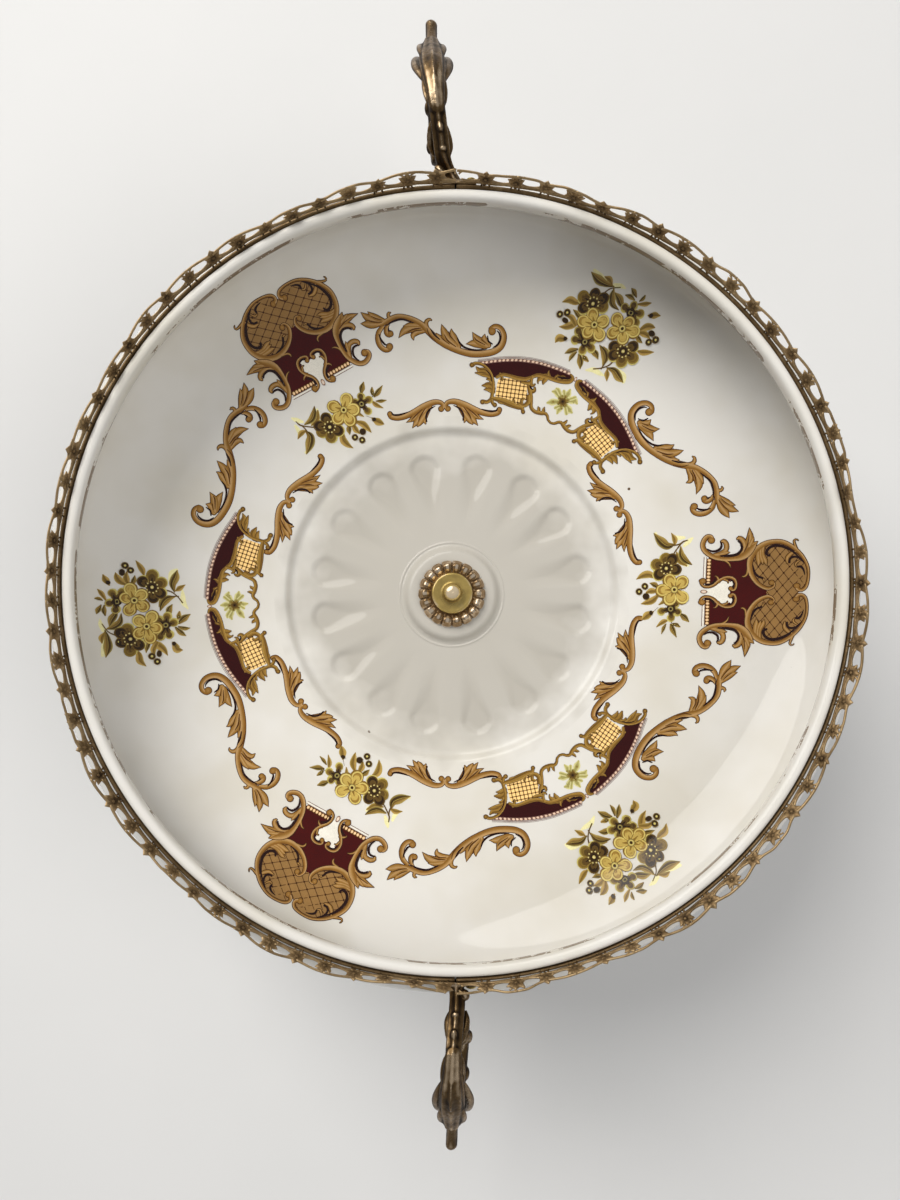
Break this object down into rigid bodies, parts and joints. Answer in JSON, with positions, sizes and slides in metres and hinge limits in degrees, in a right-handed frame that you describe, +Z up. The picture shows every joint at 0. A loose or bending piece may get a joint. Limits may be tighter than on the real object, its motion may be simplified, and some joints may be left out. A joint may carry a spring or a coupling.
{
  "type": "footed bowl",
  "caption": "Footed porcelain centrepiece bowl with a pierced brass gallery round its lip, cast brass scroll handles and a brass and porcelain pedestal clamped on one tie rod.",
  "frame": {"origin": "on the surface that the feet stand on, under the middle of the bowl and of its box", "axes": "+Z up along the bowl's axis, Y through both handles with the back handle at +Y, X across the bowl"},
  "size_m": [0.285, 0.3838, 0.1411],
  "materials": {
    "porcelain": "glossy warm white glaze, painted",
    "stamped_brass": "aged brown gold with bright worn edges",
    "cast_brass": "aged brown gold, dark in the hollows",
    "polished_brass": "polished, slightly dulled",
    "steel": "plain",
    "felt": "pressed felt"
  },
  "bodies": {
    "root": {"bowl": "porcelain", "gallery_right": "stamped_brass", "gallery_left": "stamped_brass", "handle_back": "cast_brass", "handle_rivet_back_left": "polished_brass", "handle_rivet_back_right": "polished_brass", "handle_front": "cast_brass", "handle_rivet_front_left": "polished_brass", "handle_rivet_front_right": "polished_brass", "rosette_pad": "felt", "rosette": "polished_brass", "cap_nut": "polished_brass", "tie_rod": "steel", "bowl_pad": "felt", "upper_collar": "stamped_brass", "stem": "porcelain", "lower_collar": "stamped_brass", "base": "cast_brass", "base_washer": "steel", "base_nut": "steel"}
  },
  "joints": []
}
